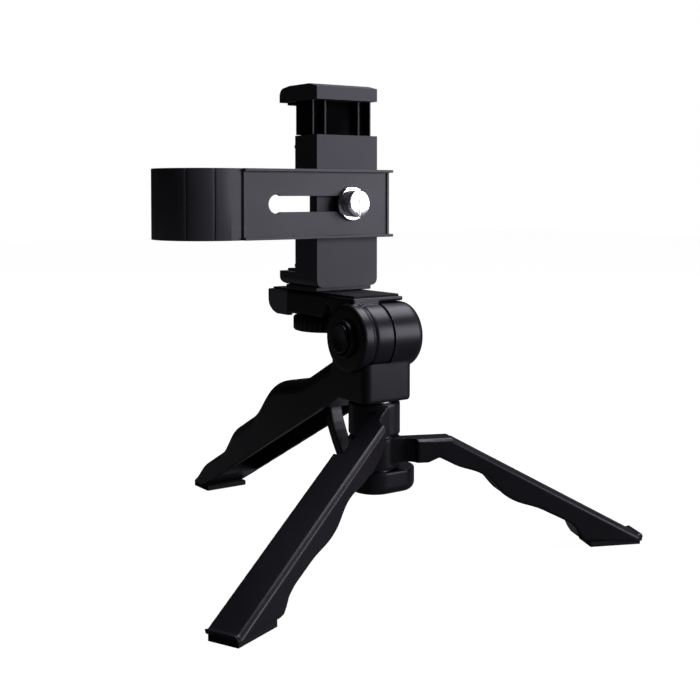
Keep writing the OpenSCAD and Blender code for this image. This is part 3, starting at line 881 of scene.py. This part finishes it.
# %% The ribbed pad
pad_low, pad_high = node_box("platform_pad")
comb = [(pad_low.y, pad_low.z)]
RIB_PITCH = 2.0
y = pad_low.y
while y + RIB_PITCH < pad_high.y:
    comb += [(y, pad_high.z - 0.15), (y + 0.2, pad_high.z), (y + 1.2, pad_high.z),
             (y + 1.4, pad_high.z - 0.45), (y + RIB_PITCH - 0.1, pad_high.z - 0.45)]
    y += RIB_PITCH
comb += [(pad_high.y, pad_high.z - 0.15), (pad_high.y, pad_low.z)]
pad = prism("platform_pad_piece", "X", comb, pad_low.x, pad_high.x)
cut(pad, rod("Z", 100, 120, 3.25, (0, STUD_Y)))
shade(pad, 20)
place_piece(pad, rubber, "head", "rubber", "platform_pad")

# %% [markdown]
# ## The thumb wheel
#
# The wheel under the platform drives the camera stud. Its rim is scalloped for grip. A star-like
# outline, drawn through a few rings with smaller ones above and below, gives the scallops and
# their rounded ends in one loft.

# %% The thumb wheel
def scalloped(radius, depth, count, points_each=6):
    """A circle whose radius dips by depth at each of count scallops."""
    outline = []
    for i in range(count * points_each):
        a = 2 * pi * i / (count * points_each)
        r = radius - depth * (0.5 + 0.5 * cos(count * a)) ** 2
        outline.append((r * cos(a), STUD_Y + r * sin(a)))
    return outline


WHEEL = [
    (13.2, 0, 89.8), (14.3, 0.3, 90.1), (14.9, 0.7, 90.9),
    (14.9, 0.7, 95.6), (14.4, 0.4, 96.3), (13.6, 0, 96.6),
]
wheel = loft("thumb_wheel_piece", [[(u, v, z) for u, v in scalloped(r, d, 36)] for r, d, z in WHEEL])
join(wheel, rod("Z", 96, 102.5, 9, (0, STUD_Y)))
cut(wheel, rod("Z", 80, 91, 10, (0, STUD_Y)), rod("Z", 80, 120, 3.05, (0, STUD_Y)))
shade(wheel, 38)
place_piece(wheel, nylon, "wheel", "wheel_plastic", "thumb_wheel")

# %% [markdown]
# ## The phone clip
#
# The clip is a straight column with a jaw at each end. The lower jaw is part of the column, and
# the upper one rides on a slider inside it. These are crisp mouldings with small even radii, so
# they keep their CAD shape and get bevelled edges.

# %% The clip's mouldings
CORNER_R = 3  # the column's two lower corners
RIBS = (8.7, 14.85)  # how far the slider's thin ribs stand from the middle


def in_pocket(x, y, z):
    """Whether a face of the upper jaw is below its cap and not on one of the thin ribs."""
    on_rib = y < 24 and min(abs(abs(x) - rib) for rib in RIBS) < 0.5
    return z < 189.4 and not on_rib


for node, name, material, body, slot, width in (
    ("clip_body", "clip_body_piece", clip_plastic, "clip", "clip_plastic", 0.7),
    ("clip_cover", "clip_cover_piece", clip_plastic, "clip", "clip_plastic", 0.5),
    ("upper_jaw", "upper_jaw_piece", clip_plastic, "jaw", "clip_plastic", 0.6),
    ("clip_foot", "clip_foot_piece", nylon, "clip", "clip_plastic", 0.5),
    ("pivot_washer", "pivot_washer_piece", rubber, "swivel", "washer_plastic", 0.12),
):
    piece = copy_of(node, name)
    if node == "clip_body":
        low, high = node_box(node)
        x0, z0 = high.x - CORNER_R, low.z + CORNER_R
        turns = [radians(a) for a in range(0, 91, 10)]
        arc = [(x0 + CORNER_R * cos(a), z0 - CORNER_R * sin(a)) for a in turns]
        outside = [(x0, low.z - 2), (high.x + 2, low.z - 2), (high.x + 2, z0)]
        for side in (-1, 1):
            wedge = [(side * x, z) for x, z in arc + outside]
            cut(piece, prism("corner", "Y", wedge, low.y - 1, high.y + 1))
    ease(piece, width, 3)
    place_piece(piece, material, body, slot, node)
    if node == "upper_jaw":
        # The pocket floors between the slider's ribs are painted near-black as painted shade, and the ribs
        # keep the clip's grey.
        second_finish(piece, painted_pocket_shade, in_pocket)

# %% [markdown]
# The jaws and the column are lined with soft pads, moulded with ribs so that a phone can't slide.

# %% The clip's pads
def ribbed_pad(name, low, high, along, face, pitch=2.4, depth=0.45):
    """A pad with V grooves across one face. along and face are axes 0, 1 or 2, and face may be negative."""
    pad = box(name, low, high)
    axis, upper = abs(face) - 1, face > 0
    position = low[along] + pitch
    while position < high[along] - pitch / 2:
        a, b = list(low), list(high)
        a[along], b[along] = position - 0.35, position + 0.35
        surface = high[axis] if upper else low[axis]
        a[axis], b[axis] = (surface - depth, surface + 1) if upper else (surface - 1, surface + depth)
        for other in range(3):
            if other not in (along, axis):
                a[other], b[other] = low[other] + 1.5, high[other] - 1.5
        cut(pad, box("groove", a, b))
        position += pitch
    return ease(pad, 0.12, 1)


low, high = node_box("lower_jaw_pad")
place_piece(ribbed_pad("lower_jaw_pad_piece", low, high, 1, 3), rubber, "clip", "rubber", "lower_jaw_pad")
low, high = node_box("upper_jaw_pad")
place_piece(ribbed_pad("upper_jaw_pad_piece", low, high, 1, -3), rubber, "jaw", "rubber", "upper_jaw_pad")
low, high = node_box("back_pad")
lower_pad = ribbed_pad("back_pad_piece", low, (high.x, high.y, 136), 2, 2)
upper_pad = ribbed_pad("back_pad_upper", (low.x, low.y, 154), high, 2, 2)
join(lower_pad, upper_pad)
shade(lower_pad, 30)
place_piece(lower_pad, rubber, "clip", "rubber", "back_pad")

# %% [markdown]
# ## Springs
#
# The jaw's spring stretches as the jaw is pulled up, and the lock's spring is squeezed by the
# button. Each is a wire coil: a small circle swept along a helix, fixed in place on no body.

# %% Coil springs
def coil(name, axis, centre, low, high, radius, wire, turns, per_turn=28, sides=8):
    """A wire coil along an axis, from low to high."""
    rings = []
    total = turns * per_turn
    for i in range(total + 1):
        a = 2 * pi * i / per_turn
        w = low + wire + (high - low - 2 * wire) * i / total
        ring = []
        for k in range(sides):
            b = 2 * pi * k / sides
            r = radius + wire * cos(b)
            ring.append(on_plane(axis, centre[0] + r * cos(a), centre[1] + r * sin(a), w + wire * sin(b)))
        rings.append(ring)
    return shade(loft(name, rings), 60)


def place_spring(spring, node):
    """Gives a spring its zinc finish, fixes it in place and hides the CAD node that it stands for."""
    spring.data.materials.append(zinc)
    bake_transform(spring)
    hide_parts(node)
    made.append(spring)
    print(spring.name, "faces:", len(spring.data.polygons))


low, high = node_box("clip_spring")
middle = (low + high) / 2
clip_spring = coil("clip_spring_piece", "Z", middle[:2], low.z, high.z, 2.7, 0.4, 18)
place_spring(clip_spring, "clip_spring")
low, high = node_box("detent_spring")
detent_spring = coil("detent_spring_piece", "X", axis_at, low.x, high.x, 5.8, 0.5, 4)
place_spring(detent_spring, "detent_spring")

# %% [markdown]
# ## The hook bracket
#
# The bracket is a flat steel strip with a thin rim turned forward round its plate, a keyhole slot
# for the thumb screw, and a free end rolled into a hook. The sheet's edges are eased, and three
# shallow grooves are cut: two down the hook's outside, and one where the plate begins. The liner
# is plain rubber.

# %% The bracket and its liner
PLATE_FRONT = 16.4
GROOVE_DEPTH = 0.35
HOOK_AT = (-58.5, 38.4)
HOOK_R = 22


def hook_groove(angle, width, depth, low, high):
    """A cutter for an upright groove in the hook's outside, angle degrees round from its front."""
    groove = box("groove", (-width / 2, -HOOK_R - 1, low), (width / 2, -HOOK_R + depth, high))
    centre = Matrix.Translation((HOOK_AT[0] / 1000, HOOK_AT[1] / 1000 + PIN_Y, 0))
    groove.data.transform(Matrix.Translation((HOOK_AT[0] / 1000, HOOK_AT[1] / 1000, 0)))
    groove.data.transform(centre @ Matrix.Rotation(-radians(angle), 4, "Z") @ centre.inverted())
    return groove


bracket = copy_of("bracket_plate", "bracket_plate_piece")
low, high = node_box("bracket_plate")
for angle in (18, 48):
    cut(bracket, hook_groove(angle, 0.45, GROOVE_DEPTH, low.z - 1, high.z + 1))
groove_back = PLATE_FRONT + GROOVE_DEPTH
cut(bracket, box("groove", (-54.1, 0, low.z - 1), (-53.5, groove_back, high.z + 1)))
ease(bracket, 0.3, 2)
place_piece(bracket, powder_coat, "bracket", "bracket_metal", "bracket_plate")
liner = ease(copy_of("hook_liner", "hook_liner_piece"), 0.3, 2)
place_piece(liner, rubber, "bracket", "rubber", "hook_liner")

# %% [markdown]
# The thumb screw is a chrome button with a knurled collar and a coin slot. The knurl is cut into
# the outline, as a knurling wheel presses it into the blank.

# %% The thumb screw
def knurled(radius, depth, count, points_each=4):
    """A circle round the screw's middle whose radius dips by depth between count ridges."""
    outline = []
    for i in range(count * points_each):
        a = 2 * pi * i / (count * points_each)
        r = radius - depth * (0.5 + 0.5 * cos(count * a))
        outline.append((r * cos(a), SCREW_Z + r * sin(a)))
    return outline


SCREW = [
    (3.05, 0, 24.4), (3.05, 0, 16.4), (6.9, 0, 16.4), (7.35, 0, 16.1), (7.35, 0, 15.5), (6.9, 0, 15.0),
    (4.6, 0, 14.9), (4.6, 0, 13.9), (5.8, 0.1, 13.6), (5.8, 0.1, 11.2), (5.5, 0, 10.75), (5.1, 0, 10.6),
    (2.5, 0, 10.62), (0.01, 0, 10.65),
]
screw = loft("thumb_screw_piece", [[(u, y, v) for u, v in knurled(r, d, 40)] for r, d, y in SCREW])
cut(screw, box("coin slot", (-0.35, 10, SCREW_Z - 7), (0.35, 11.2, SCREW_Z + 7)))
shade(screw, 30)
place_piece(screw, chrome, "screw", "chrome", "thumb_screw")

# %% [markdown]
# ## Hidden metalwork
#
# The pin, the axle, the nuts, the washers, the detent ring and the screws are already right in
# the CAD frame. They stay as they are and only get their plated finish.

# %% Materials for the carried-over nodes
STAYING = {
    zinc: ["yoke_screws", "hinge_pin", "pin_nut", "hinge_washers", "detent_ring", "tilt_axle", "axle_nut",
           "wheel_retainer", "release_plate", "camera_stud", "face_nut", "cover_screws"],
    brass: ["foot_insert"],
}
for material, nodes in STAYING.items():
    for node in nodes:
        data = frame["nodes"][node].data
        data.materials.clear()
        data.materials.append(material)
print("carried over:", sum(len(nodes) for nodes in STAYING.values()))

# %% [markdown]
# ## Floor, light and camera
#
# A pale floor and soft light show form without hard shadows. A big softbox above draws the long
# highlights on the barrel and the handle, and another lights the front from the right. The world
# and the floor are white only for the camera, so that black plastic stays black.

# %% The floor
FLOOR_HALF = 3.0
FLOOR_DROP = 0.0002  # just under the soles, so that the faces don't fight
FLOOR_WHITE, FLOOR_GLOW = 0.985, 0.02  # what the camera sees, and what the object receives
floor_mesh = bpy.data.meshes.new("floor")
signs = [(-1, -1), (1, -1), (1, 1), (-1, 1)]
corners = [Vector((FLOOR_HALF * a, FLOOR_HALF * b, -FLOOR_DROP)) for a, b in signs]
floor_mesh.from_pydata(corners, [], [(0, 1, 2, 3)])
floor = bpy.data.objects.new("floor", floor_mesh)
bpy.context.scene.collection.objects.link(floor)
paper = finish(
    "pale_floor", (0.1, 0.1, 0.1), (0.11, 0.11, 0.11), (0.11, 0.11, 0.11), (0.85, 0.95), 200, 0.00001,
    Specular_IOR_Level=0.1, Emission_Color=(1, 1, 1, 1),
)
paper_ray = paper.node_tree.nodes.new("ShaderNodeLightPath")
paper_glow = paper.node_tree.nodes.new("ShaderNodeMapRange")
paper_glow.inputs["To Min"].default_value = FLOOR_GLOW
paper_glow.inputs["To Max"].default_value = FLOOR_WHITE
paper.node_tree.links.new(paper_ray.outputs["Is Camera Ray"], paper_glow.inputs["Value"])
paper.node_tree.links.new(
    paper_glow.outputs[0], paper.node_tree.nodes["Principled BSDF"].inputs["Emission Strength"]
)
floor.data.materials.append(paper)
floor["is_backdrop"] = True

# %% The light
WORLD_WHITE, WORLD_GLOW = 1.0, 0.012
LAMP_COLOUR = (0.97, 0.945, 1.06)
world = bpy.data.worlds.new("studio")
bpy.context.scene.world = world
world.use_nodes = True
tree = world.node_tree
background = tree.nodes["Background"]
background.inputs["Color"].default_value = (1, 1, 1, 1)
ray = tree.nodes.new("ShaderNodeLightPath")
level = tree.nodes.new("ShaderNodeMapRange")
level.inputs["To Min"].default_value = WORLD_GLOW
level.inputs["To Max"].default_value = WORLD_WHITE
tree.links.new(ray.outputs["Is Camera Ray"], level.inputs["Value"])
tree.links.new(level.outputs[0], background.inputs["Strength"])


def softbox(name, place, target, width, height, power):
    """An area light of the given size in metres, turned towards a point."""
    lamp = bpy.data.lights.new(name, "AREA")
    lamp.shape = "RECTANGLE"
    lamp.size, lamp.size_y = width, height
    lamp.energy = power
    lamp.color = LAMP_COLOUR
    holder = bpy.data.objects.new(name, lamp)
    bpy.context.scene.collection.objects.link(holder)
    holder.location = place
    direction = Vector(target) - Vector(place)
    holder.rotation_euler = direction.to_track_quat("-Z", "Y").to_euler()
    return holder


softbox("overhead", (0.4, 0.0, 1.0), (0, 0, 0.08), 0.7, 0.7, 10)
softbox("front right", (0.85, -1.0, 0.35), (0, 0, 0.12), 0.8, 0.7, 10)

# %% [markdown]
# The camera stands at table height, a little left of the front. It looks almost level and is
# shifted down, as a view camera is, so that upright edges stay upright.

# %% The camera
CAMERA_AT = (-0.28488, -0.42676, 0.15046)
AZIMUTH, PITCH = radians(35.241), radians(2.281)
FOCAL_LENGTH, SHIFT = 59.406, -0.16
lens = bpy.data.cameras.new("camera")
lens.sensor_width = 36
lens.lens = FOCAL_LENGTH
lens.shift_y = SHIFT
camera = bpy.data.objects.new("camera", lens)
bpy.context.scene.collection.objects.link(camera)
camera.location = CAMERA_AT
looking = Vector((sin(AZIMUTH) * cos(PITCH), cos(AZIMUTH) * cos(PITCH), -sin(PITCH)))
camera.rotation_euler = looking.to_track_quat("-Z", "Y").to_euler()
bpy.context.scene.camera = camera
bpy.context.scene.view_settings.view_transform = "Standard"

# %% [markdown]
# The visual model stays in the CAD model's box, and its own box is printed in millimetres.

# %% Sizes, and the end
low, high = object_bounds()
print("pieces:", len(made), "box, mm:", [round(1000 * (b - a), 1) for a, b in zip(low, high)])
